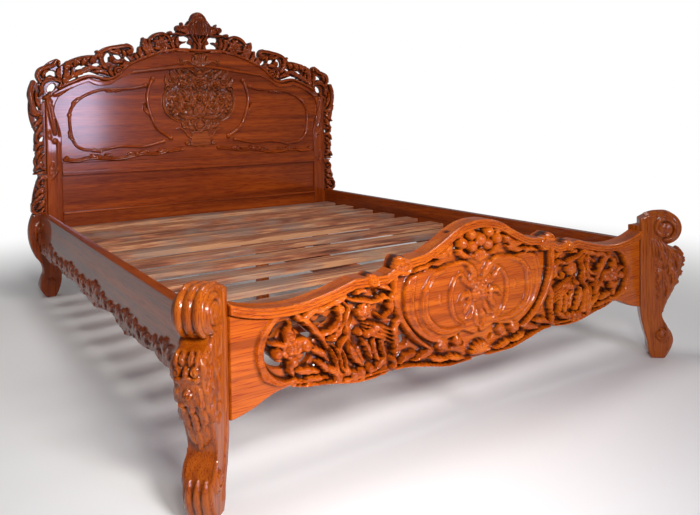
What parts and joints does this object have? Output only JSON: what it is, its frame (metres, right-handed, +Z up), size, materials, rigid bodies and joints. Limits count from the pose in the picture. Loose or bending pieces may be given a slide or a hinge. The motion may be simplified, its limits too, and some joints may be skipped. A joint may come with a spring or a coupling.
{
  "type": "bed frame",
  "caption": "Carved wooden double bed frame with a tall serpentine headboard, a pierced footboard between scrolled posts, wavy side rails and slats.",
  "frame": {"origin": "on the floor, under the centre of the bed's bounding box", "axes": "+Y from the footboard to the headboard, +X to the right as seen from the foot, +Z up"},
  "size_m": [1.8072, 2.3199, 1.4109],
  "materials": {
    "frame_wood": "mahogany, glossy clear lacquer",
    "carved_wood": "carved mahogany, glossy clear lacquer, darker in the recesses",
    "slat_wood": "raw sawn hardwood",
    "fitting_steel": "zinc-plated steel"
  },
  "bodies": {
    "root": {"headboard_bottom_rail": "frame_wood", "headboard_middle_rail": "frame_wood", "headboard_lower_panel": "frame_wood", "bead_moulding": "frame_wood", "lower_moulding": "frame_wood", "headboard_upper_panel": "frame_wood", "headboard_arch": "frame_wood", "footboard_cap": "frame_wood", "crest_finial": "carved_wood", "flower_basket": "carved_wood", "crest_vase": "carved_wood", "footboard_panel": "carved_wood", "headboard_post_left": "frame_wood", "panel_moulding_left": "frame_wood", "c_scroll_moulding_left": "frame_wood", "wavy_moulding_left": "frame_wood", "side_rail_left": "frame_wood", "side_carving_lower_left": "carved_wood", "side_carving_upper_left": "carved_wood", "crest_carving_left": "carved_wood", "front_post_left": "carved_wood", "ledger_left": "slat_wood", "headboard_post_right": "frame_wood", "panel_moulding_right": "frame_wood", "c_scroll_moulding_right": "frame_wood", "wavy_moulding_right": "frame_wood", "side_rail_right": "frame_wood", "side_carving_lower_right": "carved_wood", "side_carving_upper_right": "carved_wood", "crest_carving_right": "carved_wood", "front_post_right": "carved_wood", "ledger_right": "slat_wood", "slat_01": "slat_wood", "slat_02": "slat_wood", "slat_03": "slat_wood", "slat_04": "slat_wood", "slat_05": "slat_wood", "slat_06": "slat_wood", "slat_07": "slat_wood", "slat_08": "slat_wood", "slat_09": "slat_wood", "slat_10": "slat_wood", "slat_11": "slat_wood", "centre_beam": "slat_wood", "beam_cleat_foot": "slat_wood", "beam_cleat_head": "slat_wood", "centre_leg_front": "slat_wood", "centre_leg_rear": "slat_wood", "rail_hook_plates": "fitting_steel", "rail_catch_plates": "fitting_steel"}
  },
  "joints": []
}
